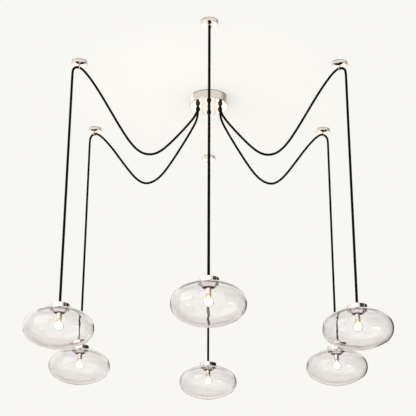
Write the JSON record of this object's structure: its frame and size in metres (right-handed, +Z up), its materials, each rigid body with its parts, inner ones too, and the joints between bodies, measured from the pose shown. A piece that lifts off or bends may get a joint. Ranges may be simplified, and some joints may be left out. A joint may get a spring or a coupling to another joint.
{
  "type": "cluster pendant",
  "caption": "Ceiling cluster pendant: cloth cords swag from a round canopy over ceiling hooks and drop plumb to flattened clear blown-glass shades with small round bulbs.",
  "frame": {"origin": "centre of the circle of ceiling hooks, on the ceiling plane and over the middle of the canopy", "axes": "+Z up, square to the ceiling; -Y towards lamp 1; the lamps follow every 60 degrees, lamp 2 on the +X side"},
  "size_m": [1.5936, 1.793, 1.395],
  "materials": {
    "polished_nickel": "polished nickel plate with a warm tint",
    "zinc_steel": "zinc plated steel, hidden hardware",
    "black_cord": "black woven cloth over a round flexible cord",
    "black_nylon": "moulded black nylon",
    "terminal_plastic": "moulded insulating plastic",
    "clear_glass": "clear hand-blown glass with a slight wave",
    "dark_phenolic": "moulded dark phenolic",
    "lit_bulb": "frosted warm white bulb on a brass base"
  },
  "bodies": {
    "ceiling_set": {"canopy_cover": "polished_nickel", "mounting_bar": "zinc_steel", "centre_stud": "zinc_steel", "canopy_nut": "polished_nickel", "terminal_block": "terminal_plastic", "earth_screw": "zinc_steel", "cord_grips": "black_nylon", "grip_locknuts": "black_nylon", "hook_plates": "polished_nickel", "ceiling_hooks": "polished_nickel", "swag_cord_1": "black_cord", "swag_cord_2": "black_cord", "swag_cord_3": "black_cord", "swag_cord_4": "black_cord", "swag_cord_5": "black_cord", "swag_cord_6": "black_cord"},
    "drop_1": {"drop_cord_1": "black_cord"},
    "lamp_1": {"shade_cap_1": "polished_nickel", "glass_shade_1": "clear_glass", "shade_bowl_1": "polished_nickel", "socket_sleeve_1": "polished_nickel", "lampholder_1": "dark_phenolic", "bulb_1": "lit_bulb"},
    "drop_2": {"drop_cord_2": "black_cord"},
    "lamp_2": {"shade_cap_2": "polished_nickel", "glass_shade_2": "clear_glass", "shade_bowl_2": "polished_nickel", "socket_sleeve_2": "polished_nickel", "lampholder_2": "dark_phenolic", "bulb_2": "lit_bulb"},
    "drop_3": {"drop_cord_3": "black_cord"},
    "lamp_3": {"shade_cap_3": "polished_nickel", "glass_shade_3": "clear_glass", "shade_bowl_3": "polished_nickel", "socket_sleeve_3": "polished_nickel", "lampholder_3": "dark_phenolic", "bulb_3": "lit_bulb"},
    "drop_4": {"drop_cord_4": "black_cord"},
    "lamp_4": {"shade_cap_4": "polished_nickel", "glass_shade_4": "clear_glass", "shade_bowl_4": "polished_nickel", "socket_sleeve_4": "polished_nickel", "lampholder_4": "dark_phenolic", "bulb_4": "lit_bulb"},
    "drop_5": {"drop_cord_5": "black_cord"},
    "lamp_5": {"shade_cap_5": "polished_nickel", "glass_shade_5": "clear_glass", "shade_bowl_5": "polished_nickel", "socket_sleeve_5": "polished_nickel", "lampholder_5": "dark_phenolic", "bulb_5": "lit_bulb"},
    "drop_6": {"drop_cord_6": "black_cord"},
    "lamp_6": {"shade_cap_6": "polished_nickel", "glass_shade_6": "clear_glass", "shade_bowl_6": "polished_nickel", "socket_sleeve_6": "polished_nickel", "lampholder_6": "dark_phenolic", "bulb_6": "lit_bulb"}
  },
  "joints": [
    {"name": "swing_1", "type": "hinge", "parent": "ceiling_set", "child": "drop_1", "pos_m": [0, -0.744, -0.07305], "axis": [-1, 0, 0], "range_deg": [-15, 15]},
    {"name": "rock_1", "type": "hinge", "parent": "drop_1", "child": "lamp_1", "pos_m": [0, -0.744, -1.19538], "axis": [0, -1, 0], "range_deg": [-12, 12]},
    {"name": "swing_2", "type": "hinge", "parent": "ceiling_set", "child": "drop_2", "pos_m": [0.64432, -0.372, -0.07305], "axis": [-0.5, -0.866, 0], "range_deg": [-15, 15]},
    {"name": "rock_2", "type": "hinge", "parent": "drop_2", "child": "lamp_2", "pos_m": [0.64432, -0.372, -1.19538], "axis": [0.866, -0.5, 0], "range_deg": [-12, 12]},
    {"name": "swing_3", "type": "hinge", "parent": "ceiling_set", "child": "drop_3", "pos_m": [0.64432, 0.372, -0.07305], "axis": [0.5, -0.866, 0], "range_deg": [-15, 15]},
    {"name": "rock_3", "type": "hinge", "parent": "drop_3", "child": "lamp_3", "pos_m": [0.64432, 0.372, -1.19538], "axis": [0.866, 0.5, 0], "range_deg": [-12, 12]},
    {"name": "swing_4", "type": "hinge", "parent": "ceiling_set", "child": "drop_4", "pos_m": [0, 0.744, -0.07305], "axis": [1, 0, 0], "range_deg": [-15, 15]},
    {"name": "rock_4", "type": "hinge", "parent": "drop_4", "child": "lamp_4", "pos_m": [0, 0.744, -1.19538], "axis": [0, 1, 0], "range_deg": [-12, 12]},
    {"name": "swing_5", "type": "hinge", "parent": "ceiling_set", "child": "drop_5", "pos_m": [-0.64432, 0.372, -0.07305], "axis": [0.5, 0.866, 0], "range_deg": [-15, 15]},
    {"name": "rock_5", "type": "hinge", "parent": "drop_5", "child": "lamp_5", "pos_m": [-0.64432, 0.372, -1.19538], "axis": [-0.866, 0.5, 0], "range_deg": [-12, 12]},
    {"name": "swing_6", "type": "hinge", "parent": "ceiling_set", "child": "drop_6", "pos_m": [-0.64432, -0.372, -0.07305], "axis": [-0.5, 0.866, 0], "range_deg": [-15, 15]},
    {"name": "rock_6", "type": "hinge", "parent": "drop_6", "child": "lamp_6", "pos_m": [-0.64432, -0.372, -1.19538], "axis": [-0.866, -0.5, 0], "range_deg": [-12, 12]}
  ]
}
